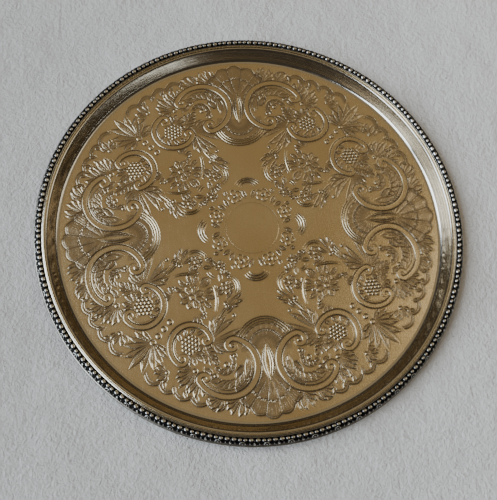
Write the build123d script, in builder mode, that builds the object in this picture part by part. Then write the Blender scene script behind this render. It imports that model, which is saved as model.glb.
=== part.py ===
"""A round chased salver in silver-plated nickel silver, drawn in millimetres.

One sheet of metal is pressed into a flat well, a cove, a steep wall and a rim that slopes down
outwards. A round wire runs along the crest of the rim. Outside it, the ornamental border is
stamped hollow in equal lengths, butted end to end round the rim, and each length is filled with
soft solder that also holds it to the rim. A round wire covers the cut edge of the sheet.

Frame: the origin is under the centre of the well, on the surface that the salver stands on.
+Z is up, and -Y points at one of the four shells of the chased pattern.
"""

from build123d import *
from math import cos, radians, sin, tan
import os

# --- driving dimensions (mm and degrees) -------------------------------------------------------
overall_diameter = 310.0
rim_height = 11.2              # top of the sheet at the crest of the rim, above the table
sheet_thickness = 1.5
cove_radius = 3.5              # upper face of the bend between the well and the wall
wall_angle = 62.0              # slope of the wall above the level
crest_radius = 1.8             # upper face of the rolled crest, each side of its flat land
rim_slope = 25.0               # fall of the rim, outwards, below the level

border_width = 5.3             # level width of the border
border_crown = 2.8             # rise of the border above the rim, square to the rim
border_gauge = 0.6             # metal of the hollow border
border_lengths = 12            # equal stamped lengths round the rim
border_setback = 0.1           # from the end of the rolled crest to the foot of the border

crest_wire_width = 1.2         # round wire, as thick as the land of the crest is wide
edge_wire_diameter = 2.2

# --- radii and heights that follow from them ----------------------------------------------------
rim_outer_radius = overall_diameter / 2 - edge_wire_diameter / 2
border_inner_radius = rim_outer_radius - border_width
rim_start_radius = border_inner_radius - border_setback
land_outer_radius = rim_start_radius - crest_radius * sin(radians(rim_slope))
land_inner_radius = land_outer_radius - crest_wire_width

wall_top_radius = land_inner_radius - crest_radius * sin(radians(wall_angle))
wall_top_height = rim_height - crest_radius * (1 - cos(radians(wall_angle)))
cove_top_height = sheet_thickness + cove_radius * (1 - cos(radians(wall_angle)))
wall_rise = wall_top_height - cove_top_height
cove_top_radius = wall_top_radius - wall_rise / tan(radians(wall_angle))
well_radius = cove_top_radius - cove_radius * sin(radians(wall_angle))

rim_start_height = rim_height - crest_radius * (1 - cos(radians(rim_slope)))
rim_length = (rim_outer_radius - rim_start_radius) / cos(radians(rim_slope))


def height_on_rim(radius):
    """Height of the upper face of the sloping rim at a radius."""
    return rim_start_height - (radius - rim_start_radius) * tan(radians(rim_slope))


def half_plane(angle):
    """Plane through the axis, with X outwards and Y up, turned about the axis by an angle."""
    turn = radians(angle)
    return Plane(origin=(0, 0, 0), x_dir=(cos(turn), sin(turn), 0), z_dir=(sin(turn), -cos(turn), 0))


def finish(piece, name):
    """Names a finished piece and writes it."""
    piece.part.label = name
    export_step(piece.part, f"parts/{name}.step")


os.makedirs("parts", exist_ok=True)

# --- tray plate: well, cove, wall, rolled crest with a narrow flat land, and sloping rim -----------
with BuildSketch() as plate_section:
    with BuildLine():
        well = Line((0, sheet_thickness), (well_radius, sheet_thickness))
        cove = JernArc(start=well @ 1, tangent=well % 1, radius=cove_radius, arc_size=wall_angle)
        wall = Line(cove @ 1, (wall_top_radius, wall_top_height))
        crest_in = JernArc(
            start=wall @ 1, tangent=wall % 1, radius=crest_radius, arc_size=-wall_angle
        )
        land = Line(crest_in @ 1, (land_outer_radius, rim_height))
        crest_out = JernArc(
            start=land @ 1, tangent=land % 1, radius=crest_radius, arc_size=-rim_slope
        )
        PolarLine(start=crest_out @ 1, length=rim_length, angle=-rim_slope)
        offset(amount=sheet_thickness, side=Side.RIGHT)
    make_face()

with BuildPart() as tray_plate:
    with BuildSketch(Plane.XZ):
        add(plate_section.sketch)
    revolve(axis=Axis.Z)
finish(tray_plate, "tray_plate")

# --- crest wire: round, standing on the land of the crest -------------------------------------------
crest_wire_radius = crest_wire_width / 2
with BuildPart() as crest_wire:
    with BuildSketch(Plane.XZ):
        with Locations((land_outer_radius - crest_wire_radius, rim_height + crest_wire_radius)):
            Circle(crest_wire_radius)
    revolve(axis=Axis.Z)
finish(crest_wire, "crest_wire")

# --- border section: a domed arc that stands on the rim, hollow by its gauge ----------------------
border_foot_in = Vector(border_inner_radius, height_on_rim(border_inner_radius))
border_foot_out = Vector(rim_outer_radius, height_on_rim(rim_outer_radius))
border_middle = (border_foot_in + border_foot_out) / 2
rim_normal = Vector(sin(radians(rim_slope)), cos(radians(rim_slope)))
border_top = border_middle + rim_normal * border_crown

with BuildSketch() as border_outline:
    with BuildLine():
        Line(border_foot_in, border_foot_out)
        ThreePointArc(border_foot_in, border_top, border_foot_out)
    make_face()

half_chord = (border_foot_out - border_foot_in).length / 2
border_arc_radius = (half_chord**2 + border_crown**2) / (2 * border_crown)
border_arc_centre = border_top - rim_normal * border_arc_radius

with BuildSketch() as filling_outline:
    with Locations(border_arc_centre):
        Circle(border_arc_radius - border_gauge)
    add(border_outline.sketch, mode=Mode.INTERSECT)

# --- border lengths and their fillings, butted end to end ------------------------------------------
length_angle = 360 / border_lengths
for index in range(border_lengths):
    section_plane = half_plane(index * length_angle - length_angle / 2)

    with BuildPart() as border_length:
        with BuildSketch(section_plane):
            add(border_outline.sketch)
            add(filling_outline.sketch, mode=Mode.SUBTRACT)
        revolve(axis=Axis.Z, revolution_arc=length_angle)
    finish(border_length, f"border_length_{index + 1:02d}")

    with BuildPart() as border_filling:
        with BuildSketch(section_plane):
            add(filling_outline.sketch)
        revolve(axis=Axis.Z, revolution_arc=length_angle)
    finish(border_filling, f"solder_filling_{index + 1:02d}")

# --- edge wire: round wire rebated over the cut edge of the sheet -----------------------------------
edge_wire_height = height_on_rim(rim_outer_radius) - edge_wire_diameter / 2
with BuildPart() as edge_wire:
    with BuildSketch(Plane.XZ):
        with Locations((rim_outer_radius, edge_wire_height)):
            Circle(edge_wire_diameter / 2)
        add(plate_section.sketch, mode=Mode.SUBTRACT)
        add(border_outline.sketch, mode=Mode.SUBTRACT)
    revolve(axis=Axis.Z)
finish(edge_wire, "edge_wire")
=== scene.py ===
"""Looks of a round chased salver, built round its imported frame. Metres, +Z up, -Y at a chased shell.

The well is one sheet of chased relief, worked out as a height over the plane from strokes of a
tracer: grooves, raised bands, leaves, beads and shells. One eighth of the pattern is drawn, in
millimetres along and beside the axis of a shell, and the other seven are its mirror images, moved
a little by a smooth wander so that no two are quite alike, as in hand work. The border is relief
on a domed strip, carried round the rim. Cove, wall, rim, underside and wires are turned profiles.
"""

import math

import bpy
import numpy as np
from mathutils import Matrix, Vector


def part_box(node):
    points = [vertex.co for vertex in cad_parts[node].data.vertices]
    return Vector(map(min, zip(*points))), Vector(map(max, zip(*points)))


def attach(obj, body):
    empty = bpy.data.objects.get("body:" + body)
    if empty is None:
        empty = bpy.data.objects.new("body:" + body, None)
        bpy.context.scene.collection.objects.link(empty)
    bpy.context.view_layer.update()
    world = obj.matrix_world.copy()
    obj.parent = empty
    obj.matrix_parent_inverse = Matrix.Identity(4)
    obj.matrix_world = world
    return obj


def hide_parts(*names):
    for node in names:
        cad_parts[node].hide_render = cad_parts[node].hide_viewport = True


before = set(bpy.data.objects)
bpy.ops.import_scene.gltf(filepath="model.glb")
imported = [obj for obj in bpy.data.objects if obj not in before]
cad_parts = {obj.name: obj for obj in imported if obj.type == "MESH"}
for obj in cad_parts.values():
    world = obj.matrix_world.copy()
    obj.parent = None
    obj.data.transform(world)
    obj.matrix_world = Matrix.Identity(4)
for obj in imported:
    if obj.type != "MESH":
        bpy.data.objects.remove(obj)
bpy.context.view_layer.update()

MM = 0.001
TAU = 2 * math.pi

# --- sizes read from the frame (mm) -------------------------------------------------------------
node_box = {name: np.array(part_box(name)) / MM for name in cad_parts}
OVERALL_R = node_box["edge_wire"][1][0]
EDGE_WIRE_R = (node_box["edge_wire"][1][2] - node_box["edge_wire"][0][2]) / 2
EDGE_WIRE_Z = node_box["edge_wire"][1][2] - EDGE_WIRE_R
RIM_OUTER_R = OVERALL_R - EDGE_WIRE_R
CREST_Z = node_box["tray_plate"][1][2]
CREST_WIRE_R = (node_box["crest_wire"][1][2] - node_box["crest_wire"][0][2]) / 2
LAND_OUTER_R = node_box["crest_wire"][1][0]

# --- sizes of the sheet that the boxes don't give (mm and degrees), as in the CAD part ----------
SHEET = 1.5
COVE_R = 3.5
WALL_ANGLE = math.radians(62.0)
CREST_R = 1.8
RIM_SLOPE = math.radians(25.0)
BORDER_SETBACK = 0.1
BORDER_CROWN = 2.8

LAND_INNER_R = LAND_OUTER_R - 2 * CREST_WIRE_R
RIM_START_R = LAND_OUTER_R + CREST_R * math.sin(RIM_SLOPE)
RIM_START_Z = CREST_Z - CREST_R * (1 - math.cos(RIM_SLOPE))
BORDER_INNER_R = RIM_START_R + BORDER_SETBACK
WALL_TOP_R = LAND_INNER_R - CREST_R * math.sin(WALL_ANGLE)
WALL_TOP_Z = CREST_Z - CREST_R * (1 - math.cos(WALL_ANGLE))
COVE_TOP_Z = SHEET + COVE_R * (1 - math.cos(WALL_ANGLE))
COVE_TOP_R = WALL_TOP_R - (WALL_TOP_Z - COVE_TOP_Z) / math.tan(WALL_ANGLE)
WELL_R = COVE_TOP_R - COVE_R * math.sin(WALL_ANGLE)

# --- chased pattern (mm) ------------------------------------------------------------------------
CELL = 0.2                # grid on which the strokes are drawn
GROOVE = 0.34             # half width of an ordinary traced line
DEPTH = 0.21              # depth of an ordinary traced line
THINNEST = 0.05           # least half width of any stroke
LEAF_SHADE = 0.42         # how dark a leaf's own shading is where it is darkest
LINES_SHADE = 0.9         # how dark close lines make the metal between them
NEARBY = 6                # cells each way over which lines count as close
RELIEF = 0.56             # share of the drawn rise that the metal keeps
WANDER = 0.55             # size of the hand's straying from the drawing
FADE_OUT = 0.8            # width over which the chasing fades at the cove

# --- mesh steps ---------------------------------------------------------------------------------
RING_STEPS = 720          # round the turned pieces
WELL_RINGS = 300          # of the well from its centre to the cove

# --- border ornament ----------------------------------------------------------------------------
REPEATS = 60              # drop and leaf pairs round the rim
STEPS_ALONG = 56          # mesh steps in one repeat
STEPS_ACROSS = 44         # mesh steps across its face
HOLLOW = 0.54             # depth of the hollows (mm), less than the metal over the filling
DRAWN_FACE = 8.6          # width of face (mm) that the ornament is drawn for
PLAIN_EDGE = 0.55         # plain edge (mm) along each foot of the dome
FLOOR_RELIEF = 0.02       # least relief, in the bottom of the hollows
END_DROP = 0.12           # how far (mm) the ends of a length are worn down
END_ROUND = 0.01375       # share of a repeat over which they are
UNDER_GAP = 0.05          # the back of a length stands this far (mm) above the rim
UNDER_STEPS = 6           # mesh steps across the back


# --- meshes -------------------------------------------------------------------------------------

def piece_from_grid(name, points, quads, material, attributes=(), normals=None):
    """A mesh from an array of points in millimetres and an array of corner numbers, four per face."""
    mesh = bpy.data.meshes.new(name)
    mesh.vertices.add(len(points))
    mesh.vertices.foreach_set("co", (points * MM).astype(np.float32).ravel())
    mesh.loops.add(quads.size)
    mesh.loops.foreach_set("vertex_index", quads.astype(np.int32).ravel())
    mesh.polygons.add(len(quads))
    mesh.polygons.foreach_set("loop_start", np.arange(0, quads.size, 4, dtype=np.int32))
    mesh.update(calc_edges=True)
    mesh.polygons.foreach_set("use_smooth", np.ones(len(quads), bool))
    for key, values in attributes:
        layer = mesh.attributes.new(key, "FLOAT", "POINT")
        layer.data.foreach_set("value", values.astype(np.float32).ravel())
    mesh.validate()
    if normals is not None:
        mesh.normals_split_custom_set_from_vertices(normals.astype(np.float32))
    mesh.materials.append(material)
    piece = bpy.data.objects.new(name, mesh)
    bpy.context.scene.collection.objects.link(piece)
    return piece


def grid_quads(rows, columns, wrap_rows=False, wrap_columns=False):
    """Corner numbers of the faces between neighbouring points of a rows by columns grid."""
    i = np.arange(rows if wrap_rows else rows - 1)
    j = np.arange(columns if wrap_columns else columns - 1)
    i, j = np.meshgrid(i, j, indexing="ij")
    down, right = (i + 1) % rows, (j + 1) % columns
    corners = (i * columns + j, down * columns + j, down * columns + right, i * columns + right)
    return np.stack(corners, -1).reshape(-1, 4)


def turned(name, profile, material, steps, closed=False, pole=None):
    """Carries a profile of (radius, height) points round the axis: x = r cos a, y = r sin a.

    A profile that ends at the axis is closed there by a point at the height of the pole."""
    profile = np.asarray(profile, float)
    angle = np.arange(steps) * TAU / steps
    radius, height = profile[:, 0, None], profile[:, 1, None]
    points = np.stack(
        [radius * np.cos(angle), radius * np.sin(angle), height + 0 * angle], -1
    ).reshape(-1, 3)
    quads = grid_quads(len(profile), steps, wrap_rows=closed, wrap_columns=True)
    if pole is not None:
        ring = (len(profile) - 1) * steps + np.arange(steps)
        hub = np.full(steps // 2, len(points))
        fan = np.stack([np.roll(ring, -2)[::2], np.roll(ring, -1)[::2], ring[::2], hub], -1)
        quads = np.concatenate([quads, fan])
        points = np.concatenate([points, [[0.0, 0.0, pole]]])
    return piece_from_grid(name, points, quads, material)


def arc(centre, radius, start, end, count=12):
    """Points on a circle between two angles in radians, as (count, 2)."""
    a = np.linspace(start, end, count)
    return np.stack([centre[0] + radius * np.cos(a), centre[1] + radius * np.sin(a)], -1)


# --- chasing: a height field drawn by strokes ---------------------------------------------------

class Field:
    """One eighth of the pattern on a grid: u runs outwards along a shell's axis, v beside it. Its
    layers are the depth of the grooves, the height of raised metal and how dark the shading is."""

    low = np.array([-4.0, -6.0])
    high = np.array([142.0, 108.0])

    def __init__(self):
        self.shape = tuple(np.ceil((self.high - self.low) / CELL).astype(int) + 1)
        self.groove = np.zeros(self.shape)
        self.raised = np.zeros(self.shape)
        self.shade = np.zeros(self.shape)

    def stretch(self, a, b, reach):
        """The grid cells within reach of the straight stretch from a to b, how far along it each one
        lies, from 0 to 1, and how far away from it."""
        first = np.floor((np.minimum(a, b) - reach - self.low) / CELL).astype(int)
        last = np.ceil((np.maximum(a, b) + reach - self.low) / CELL).astype(int) + 1
        first = np.clip(first, 0, np.array(self.shape) - 1)
        last = np.clip(last, first + 1, self.shape)
        u = self.low[0] + CELL * np.arange(first[0], last[0])[:, None]
        v = self.low[1] + CELL * np.arange(first[1], last[1])[None, :]
        run = b - a
        share = np.clip(((u - a[0]) * run[0] + (v - a[1]) * run[1]) / max(run @ run, 1e-9), 0, 1)
        away = np.hypot(u - a[0] - share * run[0], v - a[1] - share * run[1])
        return (slice(first[0], last[0]), slice(first[1], last[1])), share, away

    def erase(self, line, width):
        """Clears every layer under a band along a line, so that what is drawn next lies on top."""
        width = np.broadcast_to(width, len(line))
        for k in range(len(line) - 1):
            reach = flat_band.reach * max(width[k], width[k + 1]) + CELL
            cells, share, away = self.stretch(line[k], line[k + 1], reach)
            wide = np.maximum(width[k] + share * (width[k + 1] - width[k]), THINNEST)
            left = 1 - flat_band(away / wide)
            for layer in (self.groove, self.raised, self.shade):
                layer[cells] *= left

    def sweep(self, layer, line, width, height, profile):
        """Carries a cross-section along a line and keeps the larger of it and what is there.

        width and height are one value or one for each point of the line; profile turns distance
        over width into a share of the height."""
        width, height = np.broadcast_to(width, len(line)), np.broadcast_to(height, len(line))
        for k in range(len(line) - 1):
            reach = profile.reach * max(width[k], width[k + 1]) + CELL
            cells, share, away = self.stretch(line[k], line[k + 1], reach)
            wide = np.maximum(width[k] + share * (width[k + 1] - width[k]), THINNEST)
            tall = height[k] + share * (height[k + 1] - height[k])
            layer[cells] = np.maximum(layer[cells], tall * profile(away / wide))


def bell(x):
    """A soft V: exp(-x squared)."""
    return np.exp(-x * x)


def dome(x):
    """A rounded swelling: 1 - x squared, inside 1."""
    return np.clip(1 - x * x, 0, 1)


def flat_band(x):
    """A level band with soft shoulders near 1."""
    return np.clip((1.15 - x) / 0.3, 0, 1)


bell.reach, dome.reach, flat_band.reach = 2.4, 1.0, 1.2


def tapered(count, start=0.0, end=0.0, power=0.6):
    """Shares that swell from start to 1 and fall to end along a stroke."""
    t = np.linspace(0, 1, count)
    hump = np.sin(math.pi * t) ** power
    return np.maximum(hump, np.where(t < 0.5, start, end))


def groove(field, line, width=1.0, depth=1.0, start=0.35, end=0.15):
    """A line cut by the tracer, lighter at its ends."""
    line = np.asarray(line, float)
    swell = tapered(len(line), start, end)
    field.sweep(field.groove, line, GROOVE * width * (0.6 + 0.4 * swell), DEPTH * depth * swell, bell)


def swelling(field, line, width, height, start=0.0, end=0.0, power=0.6):
    """Metal raised along a line."""
    line = np.asarray(line, float)
    swell = tapered(len(line), start, end, power)
    field.sweep(field.raised, line, width * swell + 0.01, height * (0.4 + 0.6 * swell), dome)


def curve(a, b, bend=0.0, count=14):
    """A line from a to b that bows sideways by bend times its length: a quadratic Bezier."""
    a, b = np.asarray(a, float), np.asarray(b, float)
    t = np.linspace(0, 1, count)[:, None]
    across = np.array([-(b - a)[1], (b - a)[0]])
    middle = (a + b) / 2 + across * bend
    return (1 - t) ** 2 * a + 2 * t * (1 - t) * middle + t * t * b


def beside(line, offset):
    """The line moved sideways by one offset, or by one for each point."""
    run = np.gradient(line, axis=0)
    run /= np.maximum(np.hypot(run[:, 0], run[:, 1]), 1e-9)[:, None]
    return line + np.stack([-run[:, 1], run[:, 0]], -1) * np.reshape(offset, (-1, 1))


def polar(r, degrees, centre=(0.0, 0.0)):
    """A point at a distance and an angle from a centre."""
    a = math.radians(degrees)
    return np.array([centre[0] + r * math.cos(a), centre[1] + r * math.sin(a)])


def leaf(field, base, tip, width, bend=0.0, veins=1, height=0.2):
    """A leaf laid over what is there: two edges that bow apart by width times sin, a shaded raised
    body, veins, and a bright drop of raised metal at the tip."""
    middle = curve(base, tip, bend)
    t = np.linspace(0, 1, len(middle))
    bow = width * np.sin(math.pi * t ** 1.15) ** 0.9
    field.erase(middle, bow * 1.1 + 0.05)
    darkness = LEAF_SHADE * np.sin(math.pi * (0.1 + 0.6 * t))
    field.sweep(field.shade, middle, bow * 0.9 + 0.05, darkness, flat_band)
    swelling(field, middle, width * 0.95, height)
    for side in (1, -1):
        groove(field, beside(middle, side * bow), 1.05, 1.15, 0.5, 0.4)
        if veins > 1:
            groove(field, beside(middle, side * bow * 0.5)[2:-4], 0.6, 0.6)
    groove(field, middle[:-4], 0.8, 0.9)
    radius = min(0.85, 0.28 + 0.29 * width)
    drop = radius * np.array([0.7, 1.0, 0.6])
    field.sweep(field.raised, middle[9:12], drop, [0.45, 0.58, 0.45], dome)


def frond(field, stem, lobe, count, sides=(1, -1), fullness=0.23):
    """A stem with lobes curling off it, larger in the middle, and a pointed end leaf."""
    stem = np.asarray(stem, float)
    run = np.gradient(stem, axis=0)
    run /= np.hypot(run[:, 0], run[:, 1])[:, None]
    for k in range(count):
        for side in sides:
            at = int((0.05 + 0.78 * k / count) * (len(stem) - 1))
            size = lobe * (0.66 + 0.5 * math.sin(math.pi * (k + 0.7) / count))
            lean = math.radians(50 - 12 * k / count) * side
            turn = np.array([[math.cos(lean), -math.sin(lean)], [math.sin(lean), math.cos(lean)]])
            leaf(field, stem[at], stem[at] + turn @ run[at] * size, size * fullness, 0.2 * side, 2)
    leaf(field, stem[int(0.72 * len(stem))], stem[-1], lobe * 0.26, 0.1, 1)
    groove(field, stem, 1.1, 1.2, 0.8, 0.3)


def bead(field, centre, radius, height=0.48):
    """A round bead: a dome with a traced ring round it."""
    centre = np.asarray(centre, float)
    line = np.array([centre, centre + [0.02, 0]])
    field.erase(line, radius)
    field.sweep(field.raised, line, radius, height, dome)
    field.sweep(field.groove, arc(centre, radius * 1.08, 0, TAU, 14), GROOVE * 0.9, DEPTH * 1.1, bell)


def flower(field, centre, radius, petals, turn=0.0, heart=0.2, shape=0.34):
    """Petals that meet at a bead."""
    for k in range(petals):
        angle = turn + 360 * k / petals
        leaf(field, polar(radius * heart, angle, centre), polar(radius, angle, centre),
             radius * shape * (1 - heart), 0.0, 1, 0.24)
    bead(field, centre, radius * heart * 1.15)


def rose(field, centre, radius, turn=0.0):
    """A small rose: five round petals, an inner whorl and a heart."""
    for k in range(5):
        at = polar(radius * 0.62, turn + 72 * k, centre)
        field.sweep(field.raised, np.array([at, at + 0.01]), radius * 0.42, 0.36, dome)
        groove(field, arc(at, radius * 0.42, math.radians(turn + 72 * k - 105),
                          math.radians(turn + 72 * k + 105), 10), 0.8, 1.3, 0.7, 0.7)
    groove(field, arc(centre, radius * 0.36, 0, TAU, 12), 0.7, 0.8, 1, 1)
    bead(field, centre, radius * 0.2)


def scroll(field, line, half_width):
    """A smooth raised band laid over what is there, between pairs of traced lines, narrowing to its
    ends, with an outer echo line."""
    line = np.asarray(line, float)
    swell = np.sin(math.pi * np.linspace(0.02, 0.98, len(line))) ** 0.45
    width = half_width * (0.3 + 0.7 * swell)
    field.erase(line, width * 1.15)
    field.sweep(field.raised, line, width * 0.92, 0.2 * (0.5 + 0.5 * swell), flat_band)
    for side in (-1, 1):
        edge = beside(line, side * width * 1.1)
        field.sweep(field.groove, edge, GROOVE * 1.25, DEPTH * 1.5 * swell, bell)
        lip = beside(line, side * (width * 1.1 - 0.62))
        field.sweep(field.raised, lip, 0.5, 0.42 * swell, dome)
    groove(field, beside(line, -(width + 1.5)), 0.7, 0.7, 0.6, 0.6)


def c_scroll(centre, radius, start, end, first_curl, last_curl, stretch=1.0):
    """A C: a long arc about a centre, run from the start angle down to the end angle, with a small
    curl at each end whose radius closes from its first value to a third over most of a turn. The
    whole is stretched beside the axis."""
    def curl(angle, size, way):
        middle = polar(radius - size, angle, centre)
        a = np.radians(angle + way * np.linspace(8, 290, 26))
        r = size * (1 - 0.66 * np.linspace(0, 1, 26))
        return np.stack([middle[0] + r * np.cos(a), middle[1] + r * np.sin(a)], -1)

    main = arc(centre, radius, math.radians(start), math.radians(end), 60)
    line = np.concatenate([curl(start, first_curl, 1)[::-1], main, curl(end, last_curl, -1)])
    return np.stack([line[:, 0], centre[1] + (line[:, 1] - centre[1]) * stretch], -1)


def spoke(field, centre, near, far, angle, width=1.0, depth=1.0, start=0.35, end=0.15):
    """A traced line straight out from a centre, between two distances."""
    line = curve(polar(near, angle, centre), polar(far, angle, centre))
    groove(field, line, width, depth, start, end)


def spray(field, root, angles, lengths, width, bend=0.15, veins=2, inner=1.5):
    """Leaves that fan from a root, each with its own angle and length."""
    for angle, length in zip(angles, lengths):
        side = 1 if angle >= angles[len(angles) // 2] else -1
        leaf(field, polar(inner, angle, root), polar(length, angle, root), width, bend * side, veins)


def grapes(field, centre, rows, pitch, radius):
    """A bunch of beads in rows of hexagons, left out past a round outline."""
    for i in range(-rows, rows + 1):
        for j in range(-rows, rows + 1):
            at = np.array([centre[0] + pitch * (i + j / 2), centre[1] + pitch * j * 0.866])
            if np.hypot(*(at - centre)) < pitch * (rows + 0.2):
                bead(field, at, radius, 0.4)


def shell(field, apex, lobes, lobe_angle, reach, side_reach):
    """A scallop shell: fluted sectors from an apex, a scalloped edge, a row of dots and fine rays."""
    half = lobe_angle * lobes / 2

    def out(angle):
        return reach + (side_reach - reach) * (np.abs(angle) / half) ** 1.5

    def edge(share, ripple, shift=0.0, count=180):
        a = np.linspace(-6, half, count)
        r = out(a) * (share + ripple * np.abs(np.cos(math.pi * a / lobe_angle))) + shift
        a = np.radians(a)
        return np.stack([apex[0] + r * np.cos(a), apex[1] + r * np.sin(a)], -1)

    for k in range(int(half // 2) + 1):
        ray = curve(polar(2.0, 2 * k, apex), polar(out(2 * k) * 0.93, 2 * k, apex), 0, 8)
        field.sweep(field.shade, ray, np.linspace(0.3, 1.1, 8), 0.62, flat_band)
    for line, width, depth in ((edge(0.92, 0.08), 1.25, 1.4), (edge(0.92, 0.08, -1.4), 0.7, 0.7)):
        field.sweep(field.groove, line, GROOVE * width, DEPTH * depth, bell)
    for k in range(lobes // 2 + 1):
        angle = k * lobe_angle
        length = out(angle)
        swelling(field, curve(polar(5, angle, apex), polar(length * 0.95, angle, apex)),
                 length * 0.1, 0.26, start=0.1, end=0.9, power=0.8)
        spoke(field, apex, 3, length * 0.93, angle + lobe_angle / 2, 1.0, 1.0, 0.4, 0.9)
        for fine in (-0.34, -0.17, 0.0, 0.17, 0.34):
            turn = angle + fine * lobe_angle
            for near, far in ((0.25, 0.56), (0.68, 0.92)):
                spoke(field, apex, length * near, length * far, turn, 0.5, 0.7)
        for share in (-0.33, 0.0, 0.33):
            at = polar(length * (0.62 - 0.05 * abs(share)), angle + share * lobe_angle, apex)
            bead(field, at, 0.62, 0.42)


def draw_shell_axis(field):
    """What stands on the axis: shell, pointed ovals, and the small fan that looks to the centre."""
    shell(field, (106.0, 0), 9, 24, 30.6, 21.0)
    fan = (89.0, 0.0)
    for k in range(48):
        angle = 180 - 2 * k
        ray = curve(polar(2.0, angle, fan), polar(17.0, angle, fan), 0, 8)
        field.sweep(field.shade, ray, np.linspace(0.3, 0.8, 8), 0.55, flat_band)
    for radius, depth in ((21.8, 1.3), (20.0, 1.1), (18.2, 0.9)):
        groove(field, arc(fan, radius, math.radians(108), math.radians(186), 30), 1.0, depth, 0.8, 1)
        lip = arc(fan, radius - 0.7, math.radians(110), math.radians(186), 30)
        field.sweep(field.raised, lip, 0.5, 0.3, dome)
    for k in range(6):
        angle = 180 - 16 * k
        spoke(field, fan, 4, 16.6, angle - 8, 0.8, 0.8)
        groove(field, arc(polar(14.6, angle, fan), 2.3, math.radians(angle - 85),
                          math.radians(angle + 85), 10), 0.8, 0.9, 0.6, 0.6)
        for share in (-4.5, 0.0, 4.5):
            bead(field, polar(12.4, angle + share, fan), 0.5, 0.36)
        for fine in (-5, -2.5, 0, 2.5, 5):
            spoke(field, fan, 5.5, 11.4, angle + fine, 0.5, 0.6)
    for width, depth in ((4.0, 1.4), (2.2, 1.2)):
        middle = curve((84.5, 0), (112.5, 0), 0, 30)
        bow = width * np.sin(math.pi * np.linspace(0, 1, len(middle))) ** 1.1
        field.erase(middle, bow + 0.1)
        for side in (-1, 1):
            groove(field, beside(middle, side * bow), 1.1, depth, 0.6, 0.6)
            field.sweep(field.raised, beside(middle, side * (bow - 0.6)), 0.55,
                        0.6 * np.sin(math.pi * np.linspace(0.05, 0.95, 30)), dome)


def draw_scrolls(field):
    """The large scroll beside the shell, the small one by the diagonal, and what they hold."""
    big = (99.5, 28.2)
    small = (82.5, 51.5)
    # feathered leaves that follow the inside of the large scroll, and a smaller curl within them
    frond(field, arc(big, 15.6, math.radians(98), math.radians(-112), 40), 9.2, 9, (-1,), 0.2)
    frond(field, arc((97.5, 29.5), 7.2, math.radians(80), math.radians(-150), 30), 5.4, 6, (-1,), 0.24)
    frond(field, curve((82.0, 42.0), (97.0, 33.0), 0.25, 30), 6.4, 4, (1, -1), 0.25)
    bead(field, (98.0, 28.5), 1.5)
    bead(field, (104.5, 36.5), 1.2)
    bead(field, (92.5, 22.5), 1.2)
    # grapes and their leaves in the small scroll
    for angle in (120, 150, 180, 210, 240):
        leaf(field, polar(7.6, angle, small), polar(12.6, angle + 18, small), 1.2, -0.2, 1)
    spray(field, np.array(small) + [5.0, -1.0], (-75, -45, -15, 15, 45), (9.0, 9.8, 9.2, 8.4, 7.0), 1.6, 0.2)
    grapes(field, np.array(small) + [-1.0, 0.5], 2, 2.75, 1.3)
    # a fan of long leaves where the two scrolls meet, towards the plain field and the axis
    spray(field, (80.5, 37.0), (-38, -56, -74, -92, -110, -128, -146, -164, 178),
          (13.0, 16.5, 19.5, 22.0, 23.5, 24.0, 22.5, 19.5, 16.0), 1.9, 0.16)
    bead(field, (80.5, 37.2), 1.5)
    # leaves on the outer side, where the large scroll opens towards the ribbon
    spray(field, (99.5, 50.0), (10, 30, 50, 70, 90, 110), (13.0, 15.5, 16.0, 15.0, 12.5, 10.0), 1.9, 0.18)
    spray(field, (106.5, 46.5), (0, 22, 44), (12.5, 14.0, 13.0), 1.8, 0.18)
    bead(field, (99.8, 49.6), 1.4)
    scroll(field, c_scroll(big, 20.0, 66, -160, 4.0, 5.2, 1.06), 2.0)
    scroll(field, c_scroll(small, 14.8, -105, -322, 3.2, 4.4), 1.8)


def draw_rim_side(field):
    """Next to the cove: sprigs beside the shell, the wavy ribbon and the palmette on the diagonal."""
    for shift, depth in ((0.0, 1.4), (-2.0, 0.8)):
        a = np.linspace(14.0, 40.5, 110)
        r = 131.2 + 3.1 * np.abs(np.sin((a - 14.0) * math.pi / 5.3)) ** 0.8 + shift
        line = np.stack([r * np.cos(np.radians(a)), r * np.sin(np.radians(a))], -1)
        field.sweep(field.groove, line, GROOVE * 1.15, DEPTH * depth, bell)
        if shift < 0:
            field.sweep(field.shade, line, 1.5, 0.5, flat_band)
    spray(field, (118.5, 32.0), (30, 52, 74, 96), (12.0, 13.5, 13.0, 10.5), 1.9, 0.2)
    spray(field, (120.5, 20.0), (-2, 16, 34, 52, 70), (13.0, 14.0, 14.5, 14.0, 12.0), 2.0, 0.2)
    spray(field, polar(116.0, 26.5), (8, 30, 52, 74), (12.0, 13.5, 13.0, 11.0), 1.9, 0.2)
    bead(field, (120.3, 19.4), 1.3)
    for k in range(5):
        leaf(field, polar(126.5, 20.0 + 3.6 * k), polar(131.6, 18.6 + 3.6 * k), 1.2, 0.2, 1)
    root = polar(109.5, 45)
    for angle, length, width in ((-104, 11.0, 1.7), (-84, 15.0, 1.9), (-64, 18.0, 2.0), (-44, 20.5, 2.2),
                                 (44, 20.5, 2.2), (-22, 23.0, 2.4), (22, 23.0, 2.4), (0, 25.0, 2.6)):
        leaf(field, root, polar(length, 45 + angle, root), width, -0.14 * np.sign(angle), 2, 0.26)
    spray(field, polar(120.5, 35.0), (30, 58, 86, 114), (8.5, 10.0, 10.0, 8.5), 1.9, 0.2)
    bead(field, polar(121.3, 35.0), 1.2)
    bead(field, polar(109.5, 45), 1.8)
    for r in (91.5, 97.5, 103.5):
        bead(field, polar(r, 45), 1.7, 0.56)


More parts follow.
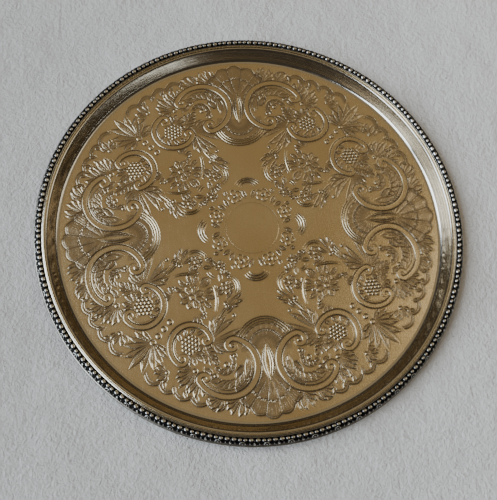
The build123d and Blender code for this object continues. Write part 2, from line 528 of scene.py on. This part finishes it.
def draw_inner_field(field):
    """Inside the scrolls: the pointed flower on the diagonal, its leaves, roses and the wreath."""
    heart = polar(68.5, 45)
    flower(field, heart, 9.2, 8, 22.5, 0.18, 0.3)
    for angle, length in ((-118, 14), (-145, 15.5), (-92, 12)):
        leaf(field, polar(8.0, 45 + angle, heart), polar(length + 2, 45 + angle + 14, heart), 1.4, 0.24, 2)
    spray(field, heart, (45 + 150, 45 + 180, 45 + 205), (17.0, 19.0, 17.0), 1.7, 0.2, 2, 8.5)
    spray(field, polar(76.5, 37.5), (10, -25, -60), (8.0, 9.0, 8.0), 1.4, 0.2)
    for angle in (36.0, 41.5):
        groove(field, arc(polar(55.5, angle), 5.0, math.radians(angle - 150), math.radians(angle + 40), 16))
    flower(field, polar(49.0, 28.0), 5.4, 6, 10, 0.24, 0.42)
    spray(field, polar(60.5, 24.5), (-78, -100, -122, -144), (10.5, 14.5, 15.5, 11.5), 1.2, 0.2)
    spray(field, polar(58.0, 34.0), (-170, -140, -110), (7.5, 8.5, 7.5), 1.5, 0.2)
    bead(field, polar(60.5, 24.5), 1.3)
    spray(field, polar(43.5, 36.0), (-100, -130, -160, 170), (6.0, 6.8, 6.4, 5.6), 1.2, 0.2, 1)
    flower(field, polar(37.8, 45), 4.4, 5, 45, 0.26, 0.42)
    for side in (-1, 1):
        leaf(field, polar(42.5, 45 + 3 * side), polar(48.5, 45 + 9 * side), 1.4, 0.22 * side, 1)
    rose(field, polar(27.0, 22.5), 5.1, 22.5)
    for radius in (7.4, 9.4, 11.2):
        line = arc((28.5, 0), radius, math.radians(-4), math.radians(58), 18)
        groove(field, line, 1.0, 1.4, 1.0, 0.4)
        swelling(field, beside(line, 0.75), 0.6, 0.5, start=1.0)
    for angle in (4.0, 40.5):
        leaf(field, polar(23.0, angle), polar(30.2, angle + (5 if angle < 20 else -2)), 1.3, 0.12, 1)
    leaf(field, polar(30.5, 33), polar(34.5, 30), 1.2, 0.2, 1)
    ring = arc((0, 0), 19.6, math.radians(-5), math.radians(50), 60)
    field.sweep(field.groove, ring, GROOVE * 0.8, DEPTH * 0.7, bell)
    # long double stems beside the diagonal
    for stem in (curve((60.0, 33.0), (41.0, 33.5), 0.16, 20), curve((66.0, 31.0), (54.0, 17.5), -0.2, 20)):
        field.erase(stem, 1.0)
        for side in (-1, 1):
            groove(field, beside(stem, side * 0.9), 0.9, 1.1, 0.6, 0.4)
        swelling(field, stem, 0.6, 0.42, power=0.5)
    for at in ((64.0, 20.0), (57.0, 24.5), (50.5, 38.5), (35.5, 21.5), (60.5, 41.0)):
        bead(field, at, 0.95, 0.55)
    # pairs of curved strokes that cup the flower and close the field towards the axis and the wreath
    for centre, first, last in ((polar(49.0, 28.0), -165, -40), (polar(68.5, 45.0), 150, 215),
                                (polar(60.0, 27.0), -75, -10), (polar(40.0, 45.0), 20, 70)):
        for radius in (7.4, 9.2):
            line = arc(centre, radius, math.radians(first), math.radians(last), 20)
            groove(field, line, 1.0, 1.3, 0.5, 0.4)
            swelling(field, beside(line, 0.6), 0.5, 0.42, power=0.8)


def drawn_pattern():
    """The whole eighth: height in millimetres, how deep in a traced line each point lies, and how
    dark it is, which is the leaves' own shading plus a share of the mean of the lines around."""
    field = Field()
    draw_rim_side(field)
    draw_shell_axis(field)
    draw_inner_field(field)
    draw_scrolls(field)
    line = np.clip(field.groove / DEPTH, 0, 1.3)
    close = line.copy()
    for axis in (0, 0, 1, 1):
        total = np.cumsum(close, axis)
        close = (np.roll(total, -NEARBY, axis) - np.roll(total, NEARBY, axis)) / (2 * NEARBY)
    rim = NEARBY + 1
    close[:rim], close[-rim:], close[:, :rim], close[:, -rim:] = 0, 0, 0, 0
    shade = np.clip(field.shade + LINES_SHADE * np.clip(close, 0, 1), 0, 1)
    return RELIEF * field.raised - field.groove, line, shade


def sampled(table, u, v):
    """Value of a grid between its points, straight along each side."""
    x = np.clip((u - Field.low[0]) / CELL, 0, table.shape[0] - 1.001)
    y = np.clip((v - Field.low[1]) / CELL, 0, table.shape[1] - 1.001)
    i, j = x.astype(int), y.astype(int)
    x, y = x - i, y - j
    low = table[i, j] * (1 - y) + table[i, j + 1] * y
    high = table[i + 1, j] * (1 - y) + table[i + 1, j + 1] * y
    return low * (1 - x) + high * x


def folded(x, y):
    """Moves a point by the wander, then turns and mirrors it into the drawn eighth."""
    reach = np.clip(np.hypot(x, y) / 40, 0, 1)
    wx = np.sin(x * 0.061 + 0.9) * np.cos(y * 0.047 + 2.1) + 0.5 * np.sin(x * 0.13 - y * 0.11 + 4.0)
    wy = np.cos(x * 0.052 + 3.3) * np.sin(y * 0.066 + 0.4) + 0.5 * np.sin(x * 0.10 + y * 0.14 + 1.0)
    x, y = x + WANDER * reach * wx, y + WANDER * reach * wy
    r = np.hypot(x, y)
    a = np.abs(np.mod(np.arctan2(y, x) + math.pi / 4, math.pi / 2) - math.pi / 4)
    return r * np.cos(a), r * np.sin(a)


def chased_at(tables, x, y):
    """What each table says at a point of the well, faded at the cove."""
    u, v = folded(x, y)
    r = np.hypot(x, y)
    fade = np.clip((WELL_R - FADE_OUT / 2 - r) / FADE_OUT, 0, 1)
    return [sampled(table, u, v) * fade for table in tables]


def well_quarter(name, tables, quarter, material):
    """A quarter of the well. A square grid is bent to a disc: the ring is the larger of the two
    grid coordinates, and the place on it is their ratio times an eighth of a turn. The normals
    come from the height a cell away on each side."""
    n = WELL_RINGS
    p, q = np.meshgrid(np.arange(n + 1) / n, np.arange(n + 1) / n, indexing="ij")
    ring = np.maximum(p, q)
    safe = np.maximum(ring, 1e-9)
    angle = np.where(p >= q, q / safe * math.pi / 4, math.pi / 2 - p / safe * math.pi / 4)
    angle = angle + quarter * math.pi / 2
    x, y = WELL_R * ring * np.cos(angle), WELL_R * ring * np.sin(angle)
    height, line, shade = chased_at(tables, x, y)

    def slope(dx, dy):
        """Rise of the relief for each millimetre towards (dx, dy)."""
        ahead, = chased_at(tables[:1], x + dx, y + dy)
        behind, = chased_at(tables[:1], x - dx, y - dy)
        return (ahead - behind) / (2 * CELL)

    normals = np.stack([-slope(CELL, 0), -slope(0, CELL), np.ones_like(x)], -1).reshape(-1, 3)
    normals /= np.linalg.norm(normals, axis=1)[:, None]
    points = np.stack([x, y, SHEET + height], -1).reshape(-1, 3)
    marks = (("line_depth", line), ("raised", np.maximum(height, 0)), ("shade", shade))
    return piece_from_grid(name, points, grid_quads(n + 1, n + 1), material, marks, normals)


# --- border lengths -----------------------------------------------------------------------------

def border_arc():
    """Centre, radius and end angles of the dome that the border fills, in the (radius, height) plane."""
    outer = np.array([RIM_OUTER_R, RIM_START_Z - (RIM_OUTER_R - RIM_START_R) * math.tan(RIM_SLOPE)])
    inner = np.array([BORDER_INNER_R, RIM_START_Z - BORDER_SETBACK * math.tan(RIM_SLOPE)])
    half = np.linalg.norm(outer - inner) / 2
    radius = (half ** 2 + BORDER_CROWN ** 2) / (2 * BORDER_CROWN)
    normal = np.array([math.sin(RIM_SLOPE), math.cos(RIM_SLOPE)])
    centre = (inner + outer) / 2 + normal * (BORDER_CROWN - radius)
    start = math.atan2(inner[1] - centre[1], inner[0] - centre[0])
    end = math.atan2(outer[1] - centre[1], outer[0] - centre[0])
    return centre, radius, start, end


def swell_at(s, t, s0, t0, wide, tall):
    """A rounded button: the square root of 1 - the squared distance over its half sizes."""
    d = ((s - s0) / wide) ** 2 + ((t - t0) / tall) ** 2
    return np.clip(1 - d, 0, 1) ** 0.5


def ornament(s, t):
    """Relief of one repeat, 0 in the hollows to 1 on the beads; s runs along it and t down its face.

    Each shape is a button, except that the arch is a half-round ring, and the largest one counts."""
    pitch = TAU * RIM_OUTER_R / REPEATS
    far = np.abs(s - 0.5) * pitch
    big = swell_at(far, t, 2.3, 2.3, 1.75, 1.75)
    small = swell_at(far, t, pitch / 2 - 1.75, 2.5, 1.45, 1.45) * 0.94
    drop = swell_at(far, t, 0.0, 5.7, 1.0, 1.6) * 0.9
    heart = swell_at(far, t, 0.0, 3.2, 0.4, 1.0) * 0.62
    leaf_far = np.abs(far - pitch / 2)
    arch_d = np.hypot(leaf_far / 2.2, (t - 5.9) / 1.9)
    arch = np.clip(1 - ((arch_d - 0.86) / 0.22) ** 2, 0, 1) ** 0.5 * np.where(t < 6.6, 0.8, 0.66)
    eye = swell_at(leaf_far, t, 0.0, 6.1, 0.75, 1.0) * 0.85
    tongue = swell_at(far, t, 3.15, 5.6, 0.5, 1.5) * 0.74
    lower = swell_at(far, t, 1.9, 7.1, 0.8, 0.6) * 0.7
    return np.maximum.reduce([big, small, drop, heart, arch, eye, tongue, lower])


def border_piece(name, index, count, material):
    """One border length. Its surface is the dome less what the ornament leaves, carried round the
    rim: radius and height come from the dome's angle, and the way round from the repeat. A back and
    two fans about a middle point close it."""
    centre, radius, start, end = border_arc()
    repeats = REPEATS // count
    along = STEPS_ALONG * repeats
    s = np.linspace(0, repeats, along + 1)[:, None]
    psi = np.linspace(start, end, STEPS_ACROSS + 1)[None, :]
    t = (start - psi) * radius
    face = (start - end) * radius
    share = np.clip(np.minimum(t, face - t) / PLAIN_EDGE, 0, 1)
    relief = ornament(np.mod(s, 1.0) + 0 * t, t * DRAWN_FACE / face + 0 * s)
    ends = np.clip(np.minimum(s, repeats - s) / END_ROUND, 0, 1) ** 0.5
    depth = (1 - np.maximum(relief, FLOOR_RELIEF)) * HOLLOW * share + END_DROP * (1 - ends)
    r = centre[0] + (radius - depth) * np.cos(psi)
    z = centre[1] + (radius - depth) * np.sin(psi)
    angle = (index - 0.5) * TAU / count + s / repeats * TAU / count
    face_points = np.stack([r * np.cos(angle), r * np.sin(angle), z], -1)
    under_r, under_z = (np.linspace(foot[:, -1], foot[:, 0], UNDER_STEPS + 1, axis=1)[:, 1:-1]
                        for foot in (r, z + UNDER_GAP))
    under = np.stack([under_r * np.cos(angle), under_r * np.sin(angle), under_z], -1)
    points = np.concatenate([face_points, under], 1)
    rows, columns = points.shape[:2]
    height = np.concatenate([1 - (1 - relief) * share, np.zeros_like(under_r)], 1)
    quads = grid_quads(rows, columns, wrap_columns=True)[:, ::-1]
    flat = points.reshape(-1, 3)
    caps = []
    for row, hub in ((0, len(flat)), (rows - 1, len(flat) + 1)):
        ring = row * columns + np.arange(columns)
        fan = np.stack([hub + 0 * ring[::2], ring[::2], np.roll(ring, -1)[::2], np.roll(ring, -2)[::2]], -1)
        caps.append(fan if row else fan[:, ::-1])
    flat = np.concatenate([flat, points[[0, -1]].mean(1)])
    height = np.concatenate([height.ravel(), [0.0, 0.0]])
    return piece_from_grid(name, flat, np.concatenate([quads] + caps), material, (("relief", height),))


# --- materials ----------------------------------------------------------------------------------

# Golden plate colours: partly warm tarnish, partly a painted warm reflection of the room carried in the
# metal's own colour.
WARM_PLATE = (0.74, 0.59, 0.36)
TARNISHED_PLATE = (0.60, 0.44, 0.23)
# Raised metal: lighter and bluer, partly wear on the high points, partly a painted highlight.
WORN_AND_HIGHLIGHT_PLATE = (0.72, 0.74, 0.80)
SHADE_TARNISH = (0.30, 0.245, 0.185)
LINE_TARNISH = (0.19, 0.15, 0.11)
BORDER_SILVER = (0.80, 0.78, 0.74)
BORDER_TARNISH = (0.60, 0.54, 0.44)
# Dark colour of the painted reflection streaks round the wall.
PAINTED_STREAK_DARK = (0.22, 0.19, 0.155)
OXIDE = (0.012, 0.011, 0.010)
WALL_SILVER = (0.78, 0.73, 0.64)
WALL_TARNISH = (0.64, 0.55, 0.41)
WIRE_SILVER = (0.76, 0.64, 0.42)
WIRE_TARNISH = (0.62, 0.49, 0.29)
EDGE_SILVER = (0.46, 0.43, 0.38)
EDGE_TARNISH = (0.20, 0.17, 0.14)
SOLDER_DARK = (0.20, 0.20, 0.21)
SOLDER_LIGHT = (0.36, 0.36, 0.37)
# Cloth colours: the ends of its own uneven tone and of the painted light across it.
CLOTH_DARK_TONE_AND_SHADE = (0.71, 0.658, 0.612)
CLOTH_LIGHT_TONE_AND_LIGHT = (1.0, 0.94, 0.88)
BAND_SCALE = 900.0        # painted reflection streaks to a metre across the wall


def node_group(name, inputs, outputs):
    """A shader node group with named sockets, and its input and output nodes."""
    group = bpy.data.node_groups.new(name, "ShaderNodeTree")
    for label, kind, value in inputs:
        socket = group.interface.new_socket(label, in_out="INPUT", socket_type=kind)
        socket.default_value = value
    for label, kind in outputs:
        group.interface.new_socket(label, in_out="OUTPUT", socket_type=kind)
    return group, group.nodes.new("NodeGroupInput"), group.nodes.new("NodeGroupOutput")


def add(tree, kind, **settings):
    """A node with its properties and the values of its unlinked inputs set."""
    node = tree.nodes.new(kind)
    for key, value in settings.items():
        if hasattr(node, key):
            setattr(node, key, value)
        else:
            node.inputs[key.replace("_", " ")].default_value = value
    return node


def join(tree, *links):
    """Links pairs of sockets."""
    for source, target in links:
        tree.links.new(source, target)


def math_node(tree, operation, a, b=None, clamp=False):
    """A Math node fed by sockets or numbers."""
    node = tree.nodes.new("ShaderNodeMath")
    node.operation = operation
    node.use_clamp = clamp
    for slot, value in ((0, a), (1, b)):
        if value is None:
            continue
        if isinstance(value, (int, float)):
            node.inputs[slot].default_value = value
        else:
            tree.links.new(value, node.inputs[slot])
    return node.outputs[0]


def times(tree, a, b):
    """The product of two sockets or numbers."""
    return math_node(tree, "MULTIPLY", a, b)


def plus(tree, a, b, clamp=False):
    """The sum of two sockets or numbers."""
    return math_node(tree, "ADD", a, b, clamp)


def coordinate_parts(tree, vector):
    """The X, Y and Z of a place."""
    parts = tree.nodes.new("ShaderNodeSeparateXYZ")
    tree.links.new(vector, parts.inputs[0])
    return parts.outputs


def ramp(tree, source, stops):
    """A colour ramp through (place, grey or colour) stops."""
    node = tree.nodes.new("ShaderNodeValToRGB")
    while len(node.color_ramp.elements) < len(stops):
        node.color_ramp.elements.new(0.5)
    for element, (place, colour) in zip(node.color_ramp.elements, stops):
        element.position = place
        element.color = (colour,) * 3 + (1,) if isinstance(colour, float) else tuple(colour) + (1,)
    tree.links.new(source, node.inputs[0])
    return node.outputs[0]


def mix_colour(tree, factor, a, b):
    """A colour mix fed by sockets or colours."""
    node = tree.nodes.new("ShaderNodeMix")
    node.data_type = "RGBA"
    for slot, value in ((0, factor), (6, a), (7, b)):
        if isinstance(value, (int, float)):
            node.inputs[slot].default_value = value
        elif isinstance(value, tuple):
            node.inputs[slot].default_value = value + (1,)
        else:
            tree.links.new(value, node.inputs[slot])
    return node.outputs[2]


def noise(tree, vector, scale, detail=3.0, roughness=0.55):
    """A noise texture's value."""
    node = add(tree, "ShaderNodeTexNoise", Scale=scale, Detail=detail, Roughness=roughness)
    tree.links.new(vector, node.inputs["Vector"])
    return node.outputs["Fac"]


def tarnish_group():
    """Warm tarnish in soft clouds, finer mottling over them, and fine hairline scratches."""
    group, into, out = node_group(
        "silver_tarnish",
        (("Vector", "NodeSocketVector", (0, 0, 0)), ("Amount", "NodeSocketFloat", 0.5)),
        (("Tarnish", "NodeSocketFloat"), ("Mottle", "NodeSocketFloat"), ("Scratch", "NodeSocketFloat")),
    )
    vector = into.outputs["Vector"]
    clouds = ramp(group, noise(group, vector, 14.0, 4.0), ((0.32, 0.0), (0.68, 1.0)))
    mottle = ramp(group, noise(group, vector, 140.0, 5.0, 0.7), ((0.3, 0.0), (0.75, 1.0)))
    blend = plus(group, times(group, clouds, 0.65), times(group, mottle, 0.35))
    tarnish = math_node(group, "MULTIPLY", blend, into.outputs["Amount"], clamp=True)
    lines = []
    for turn, stretch in ((0.6, (900, 30, 900)), (-0.9, (700, 22, 700)), (2.2, (1100, 40, 1100))):
        place = add(group, "ShaderNodeMapping")
        place.inputs["Rotation"].default_value = (0, 0, turn)
        place.inputs["Scale"].default_value = stretch
        group.links.new(vector, place.inputs["Vector"])
        lines.append(ramp(group, noise(group, place.outputs[0], 1.0, 2.0), ((0.62, 0.0), (0.70, 1.0))))
    scratch = math_node(group, "MAXIMUM", math_node(group, "MAXIMUM", lines[0], lines[1]), lines[2])
    join(group, (tarnish, out.inputs["Tarnish"]), (mottle, out.inputs["Mottle"]),
         (scratch, out.inputs["Scratch"]))
    return group


def new_material(name):
    """A material with its tree, shader and Object coordinates."""
    material = bpy.data.materials.new(name)
    material.use_nodes = True
    tree = material.node_tree
    shader = tree.nodes["Principled BSDF"]
    coordinates = tree.nodes.new("ShaderNodeTexCoord")
    return material, tree, shader, coordinates.outputs["Object"]


def tarnish_in(tree, group, vector, amount):
    """The tarnish group placed in a material."""
    node = tree.nodes.new("ShaderNodeGroup")
    node.node_tree = group
    tree.links.new(vector, node.inputs["Vector"])
    node.inputs["Amount"].default_value = amount
    return node.outputs


def attribute(tree, name):
    """The value of a named attribute of the mesh."""
    node = tree.nodes.new("ShaderNodeAttribute")
    node.attribute_name = name
    return node.outputs["Fac"]


def chased_silver(group):
    """Well: warm plate, dark in the traced lines, lighter and bluer on raised metal as wear and as a painted
    highlight, finely matted.
    """
    material, tree, shader, vector = new_material("chased_silver")
    marks = tarnish_in(tree, group, vector, 0.9)
    line = attribute(tree, "line_depth")
    raised = ramp(tree, attribute(tree, "raised"), ((0.17, 0.0), (0.37, 1.0)))
    colour = mix_colour(tree, marks["Tarnish"], WARM_PLATE, TARNISHED_PLATE)
    # Raised metal is mixed towards a lighter, bluer colour: partly wear, partly a painted highlight of the
    # window.
    colour = mix_colour(tree, times(tree, raised, 0.5), colour, WORN_AND_HIGHLIGHT_PLATE)
    shade = times(tree, attribute(tree, "shade"), math_node(tree, "SUBTRACT", 1.0, raised))
    colour = mix_colour(tree, times(tree, shade, 0.72), colour, SHADE_TARNISH)
    dark = times(tree, ramp(tree, line, ((0.25, 0.0), (1.0, 1.0))), 0.75)
    colour = mix_colour(tree, dark, colour, LINE_TARNISH)
    rough = plus(tree, times(tree, marks["Mottle"], 0.08), 0.23)
    rough = plus(tree, rough, times(tree, marks["Scratch"], 0.03))
    join(tree, (colour, shader.inputs["Base Color"]), (rough, shader.inputs["Roughness"]))
    stipple = add(tree, "ShaderNodeTexVoronoi", Scale=1500.0)
    tree.links.new(vector, stipple.inputs["Vector"])
    low = math_node(tree, "SUBTRACT", 1.0, raised)
    matting = times(tree, times(tree, stipple.outputs["Distance"], low), 0.9)
    height = plus(tree, matting, times(tree, marks["Scratch"], -0.06))
    bump = add(tree, "ShaderNodeBump", Strength=0.35, Distance=0.00012)
    join(tree, (height, bump.inputs["Height"]), (bump.outputs[0], shader.inputs["Normal"]))
    shader.inputs["Metallic"].default_value = 1.0
    return material


def smooth_silver(name, group, colour_a, colour_b, amount, rough, bands=0.0):
    """Plain polished silver: clouds of tarnish, mottling and hairline scratches. Where bands is over
    0, dark bands of painted reflection streaks run round it: they follow noise of the distance from the axis
    plus the height."""
    material, tree, shader, vector = new_material(name)
    marks = tarnish_in(tree, group, vector, amount)
    colour = mix_colour(tree, marks["Tarnish"], colour_a, colour_b)
    if bands:
        axes = coordinate_parts(tree, vector)
        square = plus(tree, times(tree, axes["X"], axes["X"]), times(tree, axes["Y"], axes["Y"]))
        place = times(tree, plus(tree, math_node(tree, "SQRT", square), axes["Z"]), BAND_SCALE)
        streak_noise = add(tree, "ShaderNodeTexNoise", noise_dimensions="1D", Scale=1.0, Detail=3.0)
        tree.links.new(place, streak_noise.inputs["W"])
        painted_streaks = ramp(tree, streak_noise.outputs["Fac"], ((0.40, 0.0), (0.60, 1.0)))
        # Painted reflection: dark bands round the wall stand in for streaks of reflected light.
        colour = mix_colour(tree, times(tree, painted_streaks, bands), colour, PAINTED_STREAK_DARK)
    value = plus(tree, times(tree, marks["Mottle"], 0.08), rough)
    value = plus(tree, value, times(tree, marks["Scratch"], 0.10))
    bump = add(tree, "ShaderNodeBump", Strength=0.06, Distance=0.00003)
    join(tree, (colour, shader.inputs["Base Color"]), (value, shader.inputs["Roughness"]),
         (marks["Scratch"], bump.inputs["Height"]), (bump.outputs[0], shader.inputs["Normal"]))
    shader.inputs["Metallic"].default_value = 1.0
    return material


def oxidised_border(group):
    """Border: black oxide in the hollows, worn to bright silver on the beads and leaves."""
    material, tree, shader, vector = new_material("oxidised_border")
    marks = tarnish_in(tree, group, vector, 0.7)
    relief = attribute(tree, "relief")
    worn = plus(tree, relief, times(tree, marks["Mottle"], -0.12))
    bright = ramp(tree, worn, ((0.40, 0.0), (0.80, 1.0)))
    colour = mix_colour(tree, marks["Tarnish"], BORDER_SILVER, BORDER_TARNISH)
    colour = mix_colour(tree, bright, OXIDE, colour)
    rough = math_node(tree, "SUBTRACT", 0.5, times(tree, bright, 0.3))
    bump = add(tree, "ShaderNodeBump", Strength=0.3, Distance=0.00008)
    join(tree, (colour, shader.inputs["Base Color"]), (rough, shader.inputs["Roughness"]),
         (marks["Mottle"], bump.inputs["Height"]), (bump.outputs[0], shader.inputs["Normal"]))
    shader.inputs["Metallic"].default_value = 1.0
    return material


def dull_solder():
    """Grey soft solder with a crystalline mottle."""
    material, tree, shader, vector = new_material("dull_solder")
    grain = noise(tree, vector, 900.0, 4.0)
    colour = mix_colour(tree, grain, SOLDER_DARK, SOLDER_LIGHT)
    rough = plus(tree, times(tree, grain, 0.2), 0.4)
    join(tree, (colour, shader.inputs["Base Color"]), (rough, shader.inputs["Roughness"]))
    shader.inputs["Metallic"].default_value = 1.0
    return material


def pale_cloth():
    """The floor: pale, matt, slightly uneven, with a short pile, and painted lighter towards the right as
    painted light.
    """
    material, tree, shader, vector = new_material("pale_cloth")
    soft = noise(tree, vector, 9.0, 4.0)
    pile = noise(tree, vector, 330.0, 3.0, 0.75)
    # Painted light: the cloth is made lighter towards +X, where more light falls; the noise adds its own
    # uneven tone and pile.
    tone_and_painted_light = plus(tree, times(tree, coordinate_parts(tree, vector)["X"], 2.2), 0.45, clamp=True)
    tone_and_painted_light = plus(tree, tone_and_painted_light, times(tree, math_node(tree, "SUBTRACT", soft, 0.5), 0.5))
    tone_and_painted_light = plus(tree, tone_and_painted_light, times(tree, math_node(tree, "SUBTRACT", pile, 0.5), 1.1))
    colour = mix_colour(tree, tone_and_painted_light, CLOTH_DARK_TONE_AND_SHADE, CLOTH_LIGHT_TONE_AND_LIGHT)
    height = plus(tree, times(tree, soft, 6.0), pile)
    bump = add(tree, "ShaderNodeBump", Strength=0.9, Distance=0.0026)
    join(tree, (colour, shader.inputs["Base Color"]), (height, bump.inputs["Height"]),
         (bump.outputs[0], shader.inputs["Normal"]))
    shader.inputs["Roughness"].default_value = 0.95
    shader.inputs["Specular IOR Level"].default_value = 0.1
    return material


# --- pieces -------------------------------------------------------------------------------------

def place(piece, slot_name, *nodes):
    """Makes a piece ride on the only body and stand for CAD nodes, which it hides; slot_name is not used."""
    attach(piece, "root")
    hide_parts(*nodes)


def sheet_profile():
    """The sheet from the edge of the well over cove, wall, crest and rim, and back underneath."""
    cove = (WELL_R, SHEET + COVE_R)
    crest_in = (LAND_INNER_R, CREST_Z - CREST_R)
    crest_out = (LAND_OUTER_R, CREST_Z - CREST_R)
    down, steep, fall = -math.pi / 2, WALL_ANGLE - math.pi / 2, math.pi / 2 - RIM_SLOPE
    rise = math.pi / 2 + WALL_ANGLE
    slope = np.array([math.cos(RIM_SLOPE), -math.sin(RIM_SLOPE)])
    rim_top = np.array([RIM_OUTER_R, RIM_START_Z - (RIM_OUTER_R - RIM_START_R) * math.tan(RIM_SLOPE)])
    rim_under = rim_top + SHEET * np.array([-math.sin(RIM_SLOPE), -math.cos(RIM_SLOPE)])
    top = [
        arc(cove, COVE_R, down, steep, 20),
        arc(crest_in, CREST_R, rise, math.pi / 2, 12),
        arc(crest_out, CREST_R, math.pi / 2, fall, 6),
        [rim_top - 0.05 * slope, rim_top],
    ]
    under = [
        [rim_under, rim_under - 0.05 * slope],
        arc(crest_out, CREST_R - SHEET, fall, math.pi / 2, 5),
        arc(crest_in, CREST_R - SHEET, math.pi / 2, rise, 6),
        arc(cove, COVE_R + SHEET, steep, down, 20),
        [(WELL_R - 2, 0.0), (90.0, 0.0), (30.0, 0.0), (2.0, 0.0)],
    ]
    return np.concatenate([np.asarray(part, float) for part in top + under])


def build_object():
    """Makes every piece of the salver and ties it to the frame."""
    tarnish = tarnish_group()
    chased = chased_silver(tarnish)
    wall = smooth_silver("wall_silver", tarnish, WALL_SILVER, WALL_TARNISH, 0.6, 0.10, 0.6)
    wire = smooth_silver("wire_silver", tarnish, WIRE_SILVER, WIRE_TARNISH, 0.5, 0.2)
    edge = smooth_silver("edge_silver", tarnish, EDGE_SILVER, EDGE_TARNISH, 0.9, 0.26)
    border = oxidised_border(tarnish)
    solder = dull_solder()

    tables = drawn_pattern()
    for quarter in range(4):
        well = well_quarter(f"chased_well_{quarter + 1}", tables, quarter, chased)
        place(well, "chased_plate", "tray_plate")
    sheet = turned("sheet_wall_and_underside", sheet_profile(), wall, RING_STEPS, pole=0.0)
    place(sheet, "chased_plate", "tray_plate")

    count = sum(name.startswith("border_length_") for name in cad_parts)
    for index in range(count):
        node = f"border_length_{index + 1:02d}"
        place(border_piece(f"ornament_{index + 1:02d}", index, count, border), "border_metal", node)

    crest_centre = (LAND_OUTER_R - CREST_WIRE_R, CREST_Z + CREST_WIRE_R)
    crest_line = arc(crest_centre, CREST_WIRE_R, 0, TAU, 25)[:-1][::-1]
    place(turned("crest_bead_wire", crest_line, wire, RING_STEPS, True), "bright_wire", "crest_wire")
    edge_line = arc((RIM_OUTER_R, EDGE_WIRE_Z), EDGE_WIRE_R, 0, TAU, 29)[:-1][::-1]
    place(turned("edge_round_wire", edge_line, edge, RING_STEPS, True), "bright_wire", "edge_wire")

    for name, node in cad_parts.items():
        if name.startswith("solder_filling"):
            for material_slot in node.material_slots:
                material_slot.material = solder


# --- floor, lights and camera -------------------------------------------------------------------

def lay_floor():
    """A wide level floor under the salver."""
    bpy.ops.mesh.primitive_plane_add(size=6.0, location=(0, 0, 0))
    floor = bpy.context.object
    floor.name = "floor"
    floor.data.materials.append(pale_cloth())


def area_light(name, place_m, target, size, power, colour):
    """A rectangular soft light at a place, turned to a target."""
    data = bpy.data.lights.new(name, "AREA")
    data.shape = "RECTANGLE"
    data.size, data.size_y = size
    data.energy = power
    data.color = colour
    light = bpy.data.objects.new(name, data)
    bpy.context.scene.collection.objects.link(light)
    light.location = place_m
    light.rotation_euler = (Vector(target) - Vector(place_m)).to_track_quat("-Z", "Y").to_euler()


def light_room():
    """A two-pane window at the left, a warm ceiling card over the far side, a pale patch of wall at
    the right, and a dim even room."""
    world = bpy.data.worlds.new("room")
    bpy.context.scene.world = world
    world.use_nodes = True
    sky = world.node_tree.nodes["Background"].inputs
    sky["Color"].default_value = (1.0, 0.86, 0.68, 1)
    sky["Strength"].default_value = 0.05
    area_light("window_near", (-3.15, -1.15, 2.5), (0, -0.1, 0), (1.7, 3.6), 130.0, (0.73, 0.86, 1.0))
    area_light("window_far", (-3.20, 0.95, 2.5), (0, 0.1, 0), (1.7, 3.6), 136.0, (0.73, 0.86, 1.0))
    area_light("ceiling_card", (0.3, 1.25, 2.1), (0.3, 1.25, 0), (3.0, 3.5), 9.0, (1.0, 0.80, 0.47))
    area_light("pale_wall", (1.25, 0.35, 1.35), (0, 0, 0), (0.5, 1.3), 3.0, (1.0, 0.95, 0.80))


LENS = 1.40845            # focal length over the width of the film


def set_camera():
    """The camera at its distance, height and side, turned about its own line of sight."""
    azimuth, elevation, roll = math.radians(-108.9), math.radians(71.09), math.radians(13.36)
    distance, aim = 0.5055, Vector((-0.0046, -0.0169, SHEET * MM))
    back = Vector((math.cos(elevation) * math.cos(azimuth),
                   math.cos(elevation) * math.sin(azimuth), math.sin(elevation)))
    data = bpy.data.cameras.new("camera")
    camera = bpy.data.objects.new("camera", data)
    bpy.context.scene.collection.objects.link(camera)
    turn = (-back).to_track_quat("-Z", "Y").to_matrix().to_4x4()
    camera.matrix_world = Matrix.Translation(aim + back * distance) @ turn @ Matrix.Rotation(roll, 4, "Z")
    data.sensor_fit = "HORIZONTAL"
    data.lens = data.sensor_width * LENS
    data.clip_start = 0.01
    bpy.context.scene.camera = camera


build_object()
lay_floor()
light_room()
set_camera()
